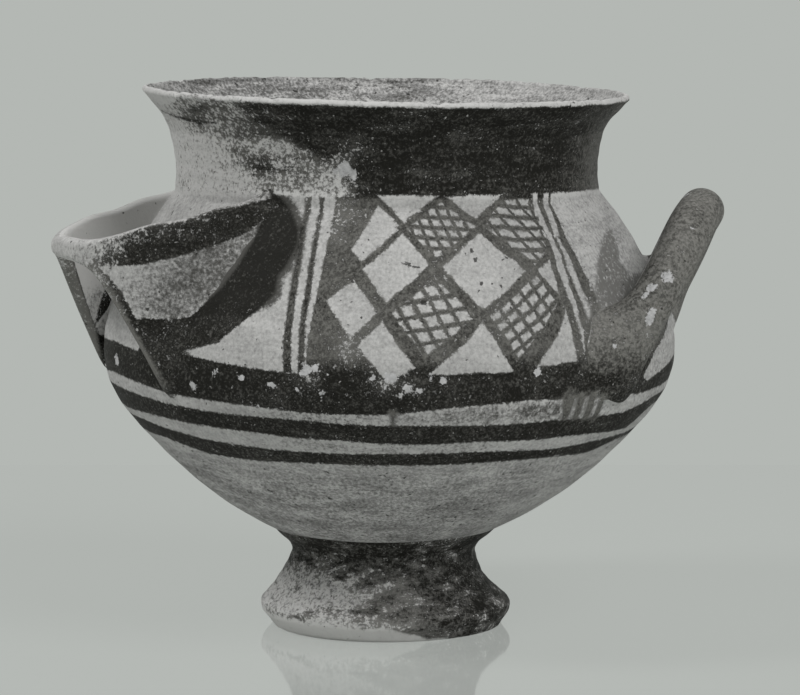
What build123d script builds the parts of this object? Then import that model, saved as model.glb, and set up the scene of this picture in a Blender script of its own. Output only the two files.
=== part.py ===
from build123d import *
from math import cos, radians, sin, tan
import os

# Footed deep bowl with a flaring collar, after an early painted pot: millimetres, +Z up.
# The origin is on the pot's axis, at the level it stands on.
# -Y is the painted front, -X the broad band handle and +X the canted loop handle.
# The five pieces were thrown or rolled apart, then stuck together with wet clay and fired.
os.makedirs("parts", exist_ok=True)

# Bowl: outer radii and heights along its profile
belly_radius = 82.0
belly_height = 79.5
mouth_radius = 60.7
mouth_height = 125.5
seat_radius = 32.0
seat_height = 28.5
underside_height = 21.5
bowl_wall = 4.2
floor_thickness = 7.0
# From the mouth to the belly, from the belly to the seat and from the seat to the axis:
# each point's share of the change in radius, then of the change in height
shoulder_shares = [(0.352, 0.222), (0.62, 0.444), (0.897, 0.71)]
lower_shares = [(0.035, 0.16), (0.24, 0.443), (0.57, 0.744)]
hidden_shares = [(0.45, 0.74)]

# Collar: a concave neck that flares out to a thin worn lip
lip_radius = 69.4
lip_thickness = 2.5
collar_height = 30.6
waist_share = 0.2
neck_radius = 60.3
neck_wall = 3.8
rim_height = mouth_height + collar_height
neck_height = mouth_height + collar_height * waist_share
# From the neck's waist to the lip: share of the change in radius, then in height
flare_shares = [(0.1, 0.37), (0.36, 0.68), (0.72, 0.86)]

# Pedestal foot: a short stem that spreads to a bevelled standing ring
stem_radius = 26.5
stem_height = 22.0
foot_radius = 35.6
foot_edge_top = 7.4
foot_edge_bottom = 4.0
foot_edge_bulge = 0.4
base_radius = 32.8
ring_width = 5.8
foot_wall = 6.5
# From the stem to the foot's edge: share of the change in radius, then in height
spread_shares = [(0.08, 0.22), (0.42, 0.62)]

# Band handle: a broad strip bent round in a loop, with its lip and its lower edge cut slantwise
band_azimuth = 199.6
band_inset = 25.1
band_depth = 42.6
band_width = 75.0
band_wall = 3.2
band_lip_dip = 0.5
band_lip_drop = 0.27
band_lip_cant = 0.07
band_tip_drop = 17.5
band_tip_setback = 7.3
band_root_dip = 1.5
band_edge_angle = 64.0
band_centre = belly_radius - band_inset
band_tip_out = band_centre + band_depth - band_tip_setback
band_tip_height = mouth_height - band_tip_drop
band_root_height = belly_height - band_root_dip

# Loop handle: a rolled coil, bent to a U and canted up from the shoulder
loop_azimuth = -18.3
loop_cant = 60.5
loop_half_span = 25.6
loop_rise = 36.77
loop_inset = 8.7
loop_root_rise = 7.0
loop_skew = 0.28
loop_thickness = 14.3
loop_breadth = 12.1
root_flare = 0.3
root_depth_share = 0.20464
loop_stations = 9
loop_base_radius = belly_radius - loop_inset
loop_base_height = belly_height + loop_root_rise
root_depth = loop_base_radius * root_depth_share

# One length that carries a cutter or an end well past what it cuts
overrun = 6.0


def between(start, end, shares):
    """Points on the way from start to end, by their shares of the change in radius and height."""
    return [(start[0] + (end[0] - start[0]) * r, start[1] + (end[1] - start[1]) * h) for r, h in shares]


def bowl_profile(inset, floor):
    """Profile of the bowl from its mouth down to its axis: inset by a wall, raised by a floor."""
    mouth = (mouth_radius - inset, mouth_height)
    belly = (belly_radius - inset, belly_height)
    seat = (seat_radius - inset * seat_radius / belly_radius, seat_height + floor)
    centre = (0, underside_height + floor)
    shoulder = between(mouth, belly, shoulder_shares)
    lower = between(belly, seat, lower_shares)
    return [mouth, *shoulder, belly, *lower, seat, *between(seat, centre, hidden_shares), centre]


def collar_profile(foot_inset, waist_inset, lip_inset):
    """Profile of the collar from the bowl's mouth up to the lip, at insets from its outer face."""
    foot = (mouth_radius - foot_inset, mouth_height)
    waist = (neck_radius - waist_inset, neck_height)
    lip = (lip_radius - lip_inset, rim_height - lip_thickness / 2)
    return [foot, waist, *between(waist, lip, flare_shares), lip]


outer_bowl = bowl_profile(0, 0)
inner_bowl = bowl_profile(bowl_wall, floor_thickness)
outer_collar = collar_profile(0, 0, 0)
inner_collar = collar_profile(bowl_wall, neck_wall, lip_thickness)

with BuildPart() as bowl:
    with BuildSketch(Plane.XZ):
        with BuildLine():
            outside = Spline(*outer_bowl)
            inside = Spline(*inner_bowl)
            Line(outside @ 0, inside @ 0)
            Line(outside @ 1, inside @ 1)
        make_face()
    revolve(axis=Axis.Z)
bowl.part.label = "bowl"
export_step(bowl.part, "parts/bowl.step")

with BuildPart() as neck_collar:
    with BuildSketch(Plane.XZ):
        with BuildLine():
            outside = Spline(*outer_collar)
            inside = Spline(*inner_collar)
            lip_top = (lip_radius - lip_thickness / 2, rim_height)
            ThreePointArc(outside @ 1, lip_top, inside @ 1)
            Line(outside @ 0, inside @ 0)
        make_face()
    revolve(axis=Axis.Z)
neck_collar.part.label = "neck_collar"
export_step(neck_collar.part, "parts/neck_collar.step")

# The pot's whole outside, filled: it trims the foot and the handles to the faces they stick to
with BuildPart() as envelope:
    with BuildSketch(Plane.XZ):
        with BuildLine():
            side = Spline(*outer_bowl)
            collar = Spline(*outer_collar)
            Polyline(side @ 1, (0, rim_height - lip_thickness / 2), collar @ 1)
        make_face()
    revolve(axis=Axis.Z)

stem = (stem_radius, stem_height)
edge = (foot_radius, foot_edge_top)
hollow_stem = (stem_radius - foot_wall, stem_height)
hollow_base = (base_radius - ring_width, 0)
with BuildPart() as pedestal_foot:
    with BuildSketch(Plane.XZ):
        with BuildLine():
            flare = Spline((seat_radius, seat_height), stem, *between(stem, edge, spread_shares), edge)
            rim = ThreePointArc(
                edge,
                (foot_radius + foot_edge_bulge, (foot_edge_top + foot_edge_bottom) / 2),
                (foot_radius, foot_edge_bottom),
            )
            Polyline(rim @ 1, (base_radius, 0), hollow_base)
            hollow = Spline(hollow_base, hollow_stem, tangents=[(0, 1), (0, 1)])
            Polyline(hollow @ 1, (hollow_stem[0], seat_height), flare @ 0)
        make_face()
    revolve(axis=Axis.Z)
    add(envelope.part, mode=Mode.SUBTRACT)
pedestal_foot.part.label = "pedestal_foot"
export_step(pedestal_foot.part, "parts/pedestal_foot.step")

# The band's own axes: out from the pot's axis, and across it towards the back
band_out = Vector(cos(radians(band_azimuth)), sin(radians(band_azimuth)), 0)
band_across = Vector(sin(radians(band_azimuth)), -cos(radians(band_azimuth)), 0)
band_reach = band_centre + band_depth + overrun


def lip_height(out):
    """Height of the band's slanting lip at a distance out from the pot's axis."""
    return mouth_height - band_lip_dip - band_lip_drop * (out - band_centre)


# Seen from the side, the lip falls outwards, and tilts a little towards the back
lip_side = Plane((0, 0, 0), x_dir=band_out, z_dir=band_across - Vector(0, 0, band_lip_cant))
band_top = lip_height(0)
over_lip = band_top + overrun
lip_points = [(0, lip_height(0)), (band_reach, lip_height(band_reach)), (band_reach, over_lip), (0, over_lip)]

# Seen from the side, the lower edge climbs at one slope from the roots and levels off under the tip
edge_side = Plane((0, 0, 0), x_dir=band_out, z_dir=band_across)
under_root = band_root_height - overrun
root_out = band_tip_out - (band_tip_height - under_root) / tan(radians(band_edge_angle))
edge_points = [
    (root_out, under_root),
    (band_tip_out, band_tip_height),
    (band_reach, band_tip_height),
    (band_reach, under_root),
]

with BuildPart() as band_handle:
    with BuildSketch(Plane(band_out * band_centre + Vector(0, 0, band_root_height), x_dir=-band_out)):
        Ellipse(band_depth, band_width / 2)
        Ellipse(band_depth - band_wall, band_width / 2 - band_wall, mode=Mode.SUBTRACT)
    extrude(amount=band_top - band_root_height)
    for side_plane, points in ((lip_side, lip_points), (edge_side, edge_points)):
        with BuildSketch(side_plane):
            Polygon(*points, align=None)
        extrude(amount=band_width, both=True, mode=Mode.SUBTRACT)
    add(envelope.part, mode=Mode.SUBTRACT)
band_handle.part.label = "band_handle"
export_step(band_handle.part, "parts/band_handle.step")

loop_out = Vector(cos(radians(loop_azimuth)), sin(radians(loop_azimuth)), 0)
loop_across = Vector(-sin(radians(loop_azimuth)), cos(radians(loop_azimuth)), loop_skew)
loop_up = loop_out * cos(radians(loop_cant)) + Vector(0, 0, 1) * sin(radians(loop_cant))
loop_base = loop_out * loop_base_radius + Vector(0, 0, loop_base_height)


def loop_place(turn):
    """Point of the coil's centre line, half an ellipse, with turn from -90 to 90 degrees."""
    return loop_base + loop_up * (loop_rise * cos(radians(turn))) + loop_across * (loop_half_span * sin(radians(turn)))


turns = [-90 + 180 * n / (loop_stations - 1) for n in range(loop_stations)]
into_wall = loop_out * -root_depth
centre_points = [loop_place(-90) + into_wall, *[loop_place(t) for t in turns], loop_place(90) + into_wall]
with BuildLine() as loop_line:
    coil = Spline(*centre_points)

with BuildPart() as loop_handle:
    places = [n / (loop_stations + 1) for n in range(loop_stations + 2)]
    for place in places:
        swell = 1 + root_flare * abs(2 * place - 1) ** 3
        direction = coil % place
        station = Plane(coil @ place, x_dir=direction.cross(loop_out), z_dir=direction)
        with BuildSketch(station):
            Ellipse(loop_breadth / 2 * swell, loop_thickness / 2 * swell)
    loft()
    add(envelope.part, mode=Mode.SUBTRACT)
loop_handle.part.label = "loop_handle"
export_step(loop_handle.part, "parts/loop_handle.step")

for piece in (bowl, neck_collar, pedestal_foot, band_handle, loop_handle):
    box = piece.part.bounding_box()
    print(piece.part.label, "solids", len(piece.part.solids()), "from", box.min, "to", box.max)
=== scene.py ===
"""Footed painted bowl with a broad band handle and a canted loop handle, dressed for the studio."""

import logging
import math
from collections.abc import Callable, Sequence
from dataclasses import dataclass, field
from enum import Enum
from functools import cached_property, reduce

import bpy
import numpy as np
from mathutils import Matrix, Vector
from numpy.typing import NDArray


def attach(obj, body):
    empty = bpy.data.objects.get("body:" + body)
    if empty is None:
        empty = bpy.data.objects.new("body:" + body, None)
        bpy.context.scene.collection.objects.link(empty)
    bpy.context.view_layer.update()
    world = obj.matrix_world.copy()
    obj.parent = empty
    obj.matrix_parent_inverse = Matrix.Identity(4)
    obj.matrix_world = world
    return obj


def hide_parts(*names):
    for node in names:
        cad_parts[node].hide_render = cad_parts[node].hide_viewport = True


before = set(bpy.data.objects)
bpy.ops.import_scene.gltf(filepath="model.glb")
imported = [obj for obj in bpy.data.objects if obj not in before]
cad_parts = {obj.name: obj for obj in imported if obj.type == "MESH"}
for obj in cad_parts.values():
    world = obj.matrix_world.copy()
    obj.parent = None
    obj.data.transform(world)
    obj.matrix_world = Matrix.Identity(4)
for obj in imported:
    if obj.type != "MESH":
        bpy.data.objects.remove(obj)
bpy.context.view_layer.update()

Array = NDArray[np.float64]
Pixels = Sequence[tuple[float, float]]
Knocks = Sequence[tuple[Array, float]]
Chips = tuple[tuple[tuple[float, float], float], ...]
Socket = bpy.types.NodeSocket
MM = 0.001
UP = np.array([0.0, 0.0, 1.0])
WHITE = (1.0, 1.0, 1.0, 1.0)
BODY = "root"
log = logging.getLogger("pot")


# Curves and surfaces


def smooth_path(knots: Sequence[Sequence[float]], count: int) -> Array:
    """A natural cubic spline through the knots, by chord length: its slope and bend are continuous.

    Args:
        knots: The points that the path goes through, in order.
        count: How many places to return, at even steps.

    Returns:
        The places, one row each.
    """
    points = np.asarray(knots, float)
    steps = np.linalg.norm(np.diff(points, axis=0), axis=1)
    ends = np.concatenate([[0.0], np.cumsum(steps)])
    size = len(points)
    system, pull = np.eye(size), np.zeros_like(points)
    inner = np.arange(1, size - 1)
    system[inner, inner - 1], system[inner, inner + 1] = steps[:-1], steps[1:]
    system[inner, inner] = 2.0 * (steps[:-1] + steps[1:])
    pull[1:-1] = 6.0 * np.diff(np.diff(points, axis=0) / steps[:, None], axis=0)
    bends = np.linalg.solve(system, pull)
    along = np.linspace(0.0, ends[-1], count)
    span = np.clip(np.searchsorted(ends, along, side="right") - 1, 0, size - 2)
    width = steps[span][:, None]
    late = (along - ends[span])[:, None] / width
    early = 1.0 - late
    sag = (early**3 - early) * bends[span] + (late**3 - late) * bends[span + 1]
    return early * points[span] + late * points[span + 1] + sag * width**2 / 6.0


def ease(value: Array | float, low: float, high: float) -> Array:
    """Nought up to low, one from high on, and the cubic 3t^2 - 2t^3 between."""
    share = np.clip((np.asarray(value, float) - low) / (high - low), 0.0, 1.0)
    return share * share * (3.0 - 2.0 * share)


def bell(off: Array, wide: float) -> Array:
    """One at nought, fading out both ways: e to the minus square of how many widths off."""
    return np.exp(-((off / wide) ** 2))


def wander(azimuth: Array, height: Array, size: float, turns: int, seed: int) -> Array:
    """Slow unevenness of hand-made clay: a sum of cosines of the azimuth and the height.

    Args:
        azimuth: Angles round the axis, in radians.
        height: Heights in metres.
        size: About the largest value returned.
        turns: The most waves round the axis.
        seed: Which unevenness.

    Returns:
        One value for each azimuth and height.
    """
    rng = np.random.default_rng(seed)
    total, parts = np.zeros(np.broadcast(azimuth, height).shape), 9
    for _ in range(parts):
        waves, lift, turn = rng.integers(1, turns + 1), rng.uniform(-120, 120), rng.uniform(0, math.tau)
        total = total + np.cos(waves * azimuth + lift * height + turn)
    return total * size / math.sqrt(parts * 2.0)


class Closing(Enum):
    """How a skin's first and last rows are closed."""

    RING = "they join each other"
    FAN = "each by a fan to the middle of its row"
    LADDER = "each by rungs from its first half to its second"


@dataclass
class Skin:
    """A closed surface on a grid of places: columns go round, rows go along.

    Attributes:
        places: Rows by columns by 3, in metres. The columns always close on themselves.
        closing: How the first and last rows are closed.
        fields: Named values, one for all places or rows by columns.
    """

    places: Array
    closing: Closing = Closing.FAN
    fields: dict[str, Array | float] = field(default_factory=dict)

    def build(self, name: str) -> bpy.types.Object:
        """Makes the mesh: each cell of the grid is a quad, and the end rows are closed.

        Args:
            name: The object's name.

        Returns:
            The object, at the origin, smooth shaded, its faces outwards.
        """
        rows, columns = self.places.shape[:2]
        points = self.places.reshape(-1, 3)
        first = np.arange(rows if self.closing is Closing.RING else rows - 1)[:, None] * columns
        here = np.arange(columns)[None, :]
        beside = (here + 1) % columns
        above = (first + columns) % (rows * columns)
        quads = np.stack([first + here, first + beside, above + beside, above + here], -1).reshape(-1, 4)
        fans = np.empty((0, 3), int)
        last = (rows - 1) * columns
        if self.closing is Closing.LADDER:
            rung = np.arange(columns // 2 - 1)
            step = np.stack([rung, columns - 1 - rung, columns - 2 - rung, rung + 1], -1)
            quads = np.vstack([quads, step, last + step[:, ::-1]])
        if self.closing is Closing.FAN:
            low, high = np.full(columns, len(points)), np.full(columns, len(points) + 1)
            points = np.vstack([points, self.places[0].mean(0), self.places[-1].mean(0)])
            ends = [(beside[0], here[0], low), (last + here[0], last + beside[0], high)]
            fans = np.vstack([np.stack(end, -1) for end in ends])
        if self._inside_out(points, quads):
            quads, fans = quads[:, ::-1], fans[:, ::-1]
        corners = np.concatenate([quads.ravel(), fans.ravel()])
        sides = np.concatenate([np.full(len(quads), 4), np.full(len(fans), 3)])
        mesh = bpy.data.meshes.new(name)
        mesh.vertices.add(len(points))
        mesh.vertices.foreach_set("co", points.ravel())
        mesh.loops.add(len(corners))
        mesh.loops.foreach_set("vertex_index", corners.astype(np.int32))
        mesh.polygons.add(len(sides))
        mesh.polygons.foreach_set("loop_start", np.concatenate([[0], np.cumsum(sides)[:-1]]).astype(np.int32))
        mesh.update(calc_edges=True)
        mesh.polygons.foreach_set("use_smooth", np.ones(len(sides), bool))
        for key, values in self.fields.items():
            values = np.broadcast_to(values, (rows, columns))
            ends = [values[0].mean(), values[-1].mean()] if self.closing is Closing.FAN else []
            flat = np.concatenate([values.ravel(), ends])
            mesh.attributes.new(key, "FLOAT", "POINT").data.foreach_set("value", flat.astype(np.float32))
        mesh.validate()
        obj = bpy.data.objects.new(name, mesh)
        bpy.context.scene.collection.objects.link(obj)
        return obj

    @staticmethod
    def _inside_out(points: Array, quads: NDArray[np.int64]) -> bool:
        """Whether the faces point inwards: the sum of the cones from the middle is negative."""
        a, b, c, d = (points[quads[:, k]] - points.mean(0) for k in range(4))
        return float(np.einsum("ij,ij->i", a, np.cross(b, c) + np.cross(c, d)).sum()) < 0.0


# The pot's own form


@dataclass(frozen=True)
class PotForm:
    """The turned outside that the wall, the handles and the paint all share, in metres."""

    belly_radius: float = 0.0819
    belly_height: float = 0.0795
    mouth_radius: float = 0.0607
    mouth_height: float = 0.1255
    seat_radius: float = 0.0320
    seat_height: float = 0.0285
    underside_height: float = 0.0215
    neck_radius: float = 0.0603
    neck_height: float = 0.1314
    lip_radius: float = 0.0694
    lip_height: float = 0.15315
    lip_thickness: float = 0.0025
    wall: float = 0.0042
    neck_wall: float = 0.0038
    floor: float = 0.0070
    tuck: float = 0.0026
    sink: float = 0.0007
    side_rows: int = 400
    collar_rows: int = 120
    shoulder_shares: tuple = ((0.352, 0.222), (0.62, 0.444), (0.897, 0.71))
    lower_shares: tuple = ((0.035, 0.16), (0.24, 0.443), (0.57, 0.744))
    hidden_shares: tuple = ((0.45, 0.74),)
    flare_shares: tuple = ((0.1, 0.37), (0.36, 0.68), (0.72, 0.86))
    lean_heights: tuple = (0.0, 0.006, 0.014, 0.024, 0.045, 0.080, 0.110, 0.154)
    lean_shifts: tuple = (0.0, -0.0004, -0.0016, -0.0009, 0.0004, 0.0007, 0.0003, -0.0004)
    seam: float = 0.002
    feeler: float = 2e-4

    @staticmethod
    def between(start: Sequence[float], end: Sequence[float], shares: Sequence[Sequence[float]]) -> list:
        """Points on the way from start to end, by their shares of the change in radius and height."""
        return [(start[0] + (end[0] - start[0]) * r, start[1] + (end[1] - start[1]) * h) for r, h in shares]

    def bowl_side(self, inset: float, floor: float, count: int) -> Array:
        """Profile of the bowl from its axis up to its mouth, radius and height in each row."""
        mouth = (self.mouth_radius - inset, self.mouth_height)
        belly = (self.belly_radius - inset, self.belly_height)
        seat = (self.seat_radius - inset * self.seat_radius / self.belly_radius, self.seat_height + floor)
        centre = (0.0, self.underside_height + floor)
        knots = [mouth, *self.between(mouth, belly, self.shoulder_shares), belly]
        knots += [*self.between(belly, seat, self.lower_shares), seat]
        knots += [*self.between(seat, centre, self.hidden_shares), centre]
        return smooth_path(knots, count)[::-1]

    def collar_side(self, foot_inset: float, waist_inset: float, lip_inset: float, count: int) -> Array:
        """Profile of the collar from the bowl's mouth up to the lip, at insets from its outer face."""
        foot = (self.mouth_radius - foot_inset, self.mouth_height)
        waist = (self.neck_radius - waist_inset, self.neck_height)
        lip = (self.lip_radius - lip_inset, self.lip_height)
        return smooth_path([foot, waist, *self.between(waist, lip, self.flare_shares), lip], count)

    def lean(self, height: Array) -> Array:
        """How far the axis strays along X at a height."""
        return np.interp(height, self.lean_heights, self.lean_shifts)

    def side(self) -> Array:
        """The whole outer profile above the seat, from below to the lip."""
        bowl = self.bowl_side(0.0, 0.0, self.side_rows)
        bowl = bowl[bowl[:, 1] > self.seat_height - self.seam]
        collar = self.collar_side(0.0, 0.0, 0.0, self.collar_rows)
        return np.vstack([bowl, collar[1:]])

    def clearance(self, points: Array) -> Array:
        """Distance of points from the pot's outside: radius less the pot's, times the slope's cosine."""
        profile = self.side()
        slope = np.gradient(profile[:, 0], profile[:, 1])
        out = np.hypot(points[..., 0] - self.lean(points[..., 2]), points[..., 1])
        own = np.interp(points[..., 2], profile[:, 1], profile[:, 0])
        return (out - own) / np.hypot(1.0, np.interp(points[..., 2], profile[:, 1], slope))

    def outward(self, points: Array) -> Array:
        """Unit vectors away from the pot's outside, by differences of the clearance."""
        feelers = self.feeler * np.eye(3)
        normal = np.stack([self.clearance(points + far) - self.clearance(points - far) for far in feelers], -1)
        return normal / np.linalg.norm(normal, axis=-1, keepdims=True)


# The photograph's camera


@dataclass(frozen=True)
class ViewCamera:
    """The camera that sees the pot as the photograph does."""

    width: float = 800.0
    height: float = 695.0
    focal_pixels: float = 4350.0
    axis_pixel: float = 387.0
    distance: float = 1.243
    eye_height: float = 0.2326
    pitch: float = math.radians(7.0)
    film: float = 36.0
    before_axis: float = 0.11
    behind_axis: float = 0.03
    ray_steps: int = 700

    def make(self) -> bpy.types.Object:
        """Places the camera and makes it the scene's own."""
        data = bpy.data.cameras.new("view")
        data.sensor_width = self.film
        data.lens = self.focal_pixels * self.film / self.width
        data.shift_x = (self.width / 2 - self.axis_pixel) / self.width
        data.clip_start, data.clip_end = 0.05, 20.0
        obj = bpy.data.objects.new("view", data)
        obj.location = (0.0, -self.distance, self.eye_height)
        obj.rotation_euler = (math.pi / 2 - self.pitch, 0.0, 0.0)
        bpy.context.scene.collection.objects.link(obj)
        bpy.context.scene.camera = obj
        return obj

    def pixels(self, points: Array) -> Array:
        """Where places appear in the 800 by 695 frame."""
        c, s = math.cos(self.pitch), math.sin(self.pitch)
        out = points - np.array([0.0, -self.distance, self.eye_height])
        depth = out[..., 1] * c - out[..., 2] * s
        up = out[..., 1] * s + out[..., 2] * c
        across = self.axis_pixel + self.focal_pixels * out[..., 0] / depth
        return np.stack([across, self.height / 2 - self.focal_pixels * up / depth], -1)

    def rays(self, pixels: Pixels) -> Array:
        """Directions from the eye through pixels of the 800 by 695 frame, one unit deep."""
        spots = np.asarray(pixels, float)
        across = (spots[:, 0] - self.axis_pixel) / self.focal_pixels
        up = (self.height / 2 - spots[:, 1]) / self.focal_pixels
        c, s = math.cos(self.pitch), math.sin(self.pitch)
        return np.stack([across, c + up * s, up * c - s], -1)

    def seen_on(self, form: PotForm, pixels: Pixels) -> Array:
        """Where the rays through the pixels first meet the pot, or pass nearest to it.

        Each ray is walked in even steps, and the first step that enters the pot is cut in proportion
        to the clearance at its two ends.

        Args:
            form: The pot's outside.
            pixels: Places in the photograph.

        Returns:
            The places in metres, one row each.
        """
        rays = self.rays(pixels)
        eye = np.array([0.0, -self.distance, self.eye_height])
        depths = np.linspace(self.distance - self.before_axis, self.distance + self.behind_axis, self.ray_steps)
        line = eye + depths[None, :, None] * rays[:, None, :]
        gap = form.clearance(line)
        enters = (gap[:, :-1] > 0) & (gap[:, 1:] <= 0)
        hit = np.where(enters.any(1), enters.argmax(1), np.clip(gap.argmin(1), 0, len(depths) - 2))
        row = np.arange(len(rays))
        before, after = gap[row, hit], gap[row, hit + 1]
        share = np.where(enters.any(1), before / np.maximum(before - after, 1e-12), 0.0)
        depth = depths[hit] + share * (depths[1] - depths[0])
        return eye + depth[:, None] * rays


VIEW = ViewCamera()
FORM = PotForm()
UNROLL_RADIUS = 72.0


def unrolled(points: Array) -> Array:
    """Places on the pot laid flat: the way round from the front, and the height, both in mm."""
    round_way = np.arctan2(points[..., 0], -points[..., 1]) * UNROLL_RADIUS
    return np.stack([round_way, points[..., 2] / MM], -1)


def laid(pixels: Pixels) -> Array:
    """Pixels of the photograph as unrolled places on the pot."""
    return unrolled(VIEW.seen_on(FORM, pixels))


# Painted shapes as fields of depth: how far inside its edge a place lies, in mm


def beside_line(spots: Array, start: Array, end: Array) -> tuple[Array, Array]:
    """How places lie to a straight line, whose nearest place is the clamped projection along it.

    Args:
        spots: Unrolled places.
        start: One end of the line.
        end: Its other end.

    Returns:
        How far along it each place lies, as a share, and how far off it.
    """
    side, off = end - start, spots - start
    share = np.clip((off @ side) / max(float(side @ side), 1e-12), 0.0, 1.0)
    return share, np.linalg.norm(off - share[..., None] * side, axis=-1)


def outline_depth(spots: Array, corners: Array) -> Array:
    """How far places lie inside a closed outline of any shape.

    The size is the least distance to a side; the sign comes from the sides crossed to the right.

    Args:
        spots: Unrolled places, with 2 in the last axis.
        corners: The outline's corners in order.

    Returns:
        The depth of each place, negative outside.
    """
    near, inside = np.full(spots.shape[:-1], np.inf), np.zeros(spots.shape[:-1], bool)
    for start, end in zip(corners, np.roll(corners, -1, axis=0)):
        near = np.minimum(near, beside_line(spots, start, end)[1])
        side = end - start
        crosses = (start[1] > spots[..., 1]) != (end[1] > spots[..., 1])
        run = start[0] + (spots[..., 1] - start[1]) * side[0] / (side[1] if side[1] else 1e-12)
        inside ^= crosses & (spots[..., 0] < run)
    return np.where(inside, near, -near)


def stroke_depth(spots: Array, path: Array, widths: Sequence[float]) -> Array:
    """How far places lie inside a brush stroke: half its width there, less the distance to its path.

    Args:
        spots: Unrolled places.
        path: The stroke's middle line.
        widths: The stroke's width at each point of the path.

    Returns:
        The depth of each place, negative outside.
    """
    depth = np.full(spots.shape[:-1], -np.inf)
    for start, end, wide, narrow in zip(path[:-1], path[1:], widths[:-1], widths[1:]):
        share, far = beside_line(spots, start, end)
        depth = np.maximum(depth, (wide + (narrow - wide) * share) / 2 - far)
    return depth


# Shader tools


def joined(name: str, backward: bool = False) -> Callable[["Value", "Value | float"], "Value"]:
    """Makes a method that puts a value and another through a Math node.

    Args:
        name: The node's operation.
        backward: Whether the other goes first.

    Returns:
        The method.
    """

    def join(first: "Value", second: "Value | float") -> "Value":
        """What the Math node makes of the two."""
        return first.bench.math(name, *((second, first) if backward else (first, second)))

    return join


class Value:
    """A shader socket that carries a number, with Python's own arithmetic."""

    def __init__(self, bench: "Bench", socket: Socket) -> None:
        """Keeps the socket and the bench that its next nodes go on."""
        self.bench, self.socket = bench, socket

    __add__, __radd__ = joined("ADD"), joined("ADD", backward=True)
    __sub__, __rsub__ = joined("SUBTRACT"), joined("SUBTRACT", backward=True)
    __mul__, __rmul__ = joined("MULTIPLY"), joined("MULTIPLY", backward=True)
    __truediv__, least, most = joined("DIVIDE"), joined("MINIMUM"), joined("MAXIMUM")

    def size(self) -> "Value":
        """Without its sign."""
        return self.bench.math("ABSOLUTE", self)

    def fraction(self) -> "Value":
        """What is past the last whole number."""
        return self.bench.math("FRACT", self)

    def step(self, low: "Value | float", high: "Value | float") -> "Value":
        """Nought at low, one at high, smooth between."""
        sockets = {0: self, 1: low, 2: high, 3: 0.0, 4: 1.0}
        node = self.bench.node("ShaderNodeMapRange", sockets, interpolation_type="SMOOTHSTEP")
        return Value(self.bench, node.outputs[0])


class Grain(Enum):
    """The clay's unevenness: how far a lump goes in metres, its detail and its roughness."""

    GRIT = (0.0021, 4.0, 0.62)
    FINE = (0.0009, 3.0, 0.7)
    CLOUD = (0.011, 4.0, 0.6)
    WIDE = (0.045, 3.0, 0.5)
    WHEEL = (1.0, 3.0, 0.6)
    BRUSH = (1.0, 6.0, 0.72)
    PIT = (0.0016, 1.0, 0.5)
    SWAY = (0.009, 2.0, 0.5)
    LURCH = (0.010, 2.0, 0.5)
    FLECK = (0.0011, 2.0, 0.6)
    CLOD = (0.0032, 4.0, 0.7)


class Bench:
    """The nodes of one material or of the world, and the methods that add to them."""

    def __init__(self, owner: bpy.types.Material | bpy.types.World) -> None:
        """Starts the owner's nodes from none."""
        self.owner = owner
        owner.use_nodes = True
        self.tree = owner.node_tree
        self.tree.nodes.clear()

    @cached_property
    def place(self) -> Socket:
        """Object coordinates."""
        return self.node("ShaderNodeTexCoord").outputs["Object"]

    def node(self, kind: str, sockets: dict | None = None, **settings: object) -> bpy.types.Node:
        """Adds a node.

        Args:
            kind: The node's type.
            sockets: For each input, by name or number, a value or what is linked to it.
            settings: Its properties, set first.

        Returns:
            The node.
        """
        node = self.tree.nodes.new(kind)
        for key, value in settings.items():
            setattr(node, key, value)
        for key, value in (sockets or {}).items():
            value = value.socket if isinstance(value, Value) else value
            if isinstance(value, Socket):
                self.tree.links.new(value, node.inputs[key])
            else:
                node.inputs[key].default_value = value
        return node

    def math(self, operation: str, *parts: Value | float) -> Value:
        """A Math node."""
        return Value(self, self.node("ShaderNodeMath", dict(enumerate(parts)), operation=operation).outputs[0])

    def vector(self, operation: str, *parts: Socket | Sequence[float]) -> bpy.types.Node:
        """A Vector Math node."""
        return self.node("ShaderNodeVectorMath", dict(enumerate(parts)), operation=operation)

    def noise(self, grain: Grain, place: Socket | None = None) -> Value:
        """Cloudy noise about 0.5, of that grain."""
        size, detail, rough = grain.value
        sockets = {"Vector": place or self.place, "Scale": 1.0 / size, "Detail": detail, "Roughness": rough}
        return Value(self, self.node("ShaderNodeTexNoise", sockets, noise_dimensions="3D").outputs["Fac"])

    def shifted(self, far: float) -> Socket:
        """The place moved aside, for a noise that goes its own way."""
        return self.vector("ADD", self.place, (far, far / 3.0, far / 2.0)).outputs[0]

    def field(self, name: str) -> Value:
        """A value that the mesh carries."""
        return Value(self, self.node("ShaderNodeAttribute", attribute_name=name).outputs["Fac"])

    def blend(self, share: Value | float, first: object, second: object) -> Socket:
        """The first colour giving way to the second as the share goes from nought to one."""
        return self.node("ShaderNodeMix", {0: share, 6: first, 7: second}, data_type="RGBA").outputs[2]

    def gather(self, x: Value | float, y: Value | float, z: Value | float) -> Socket:
        """A vector of three values."""
        return self.node("ShaderNodeCombineXYZ", {0: x, 1: y, 2: z}).outputs[0]


def grey(level: float, warmth: float = 0.0) -> tuple[float, float, float, float]:
    """A near neutral colour: a linear level, a little less blue and more red with warmth."""
    return (level * (1.0 + 0.5 * warmth), level * (1.0 + 0.25 * warmth), level * (1.0 - warmth), 1.0)


# The ornament: corners and edges are pixels of the photograph, laid onto the pot


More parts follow.
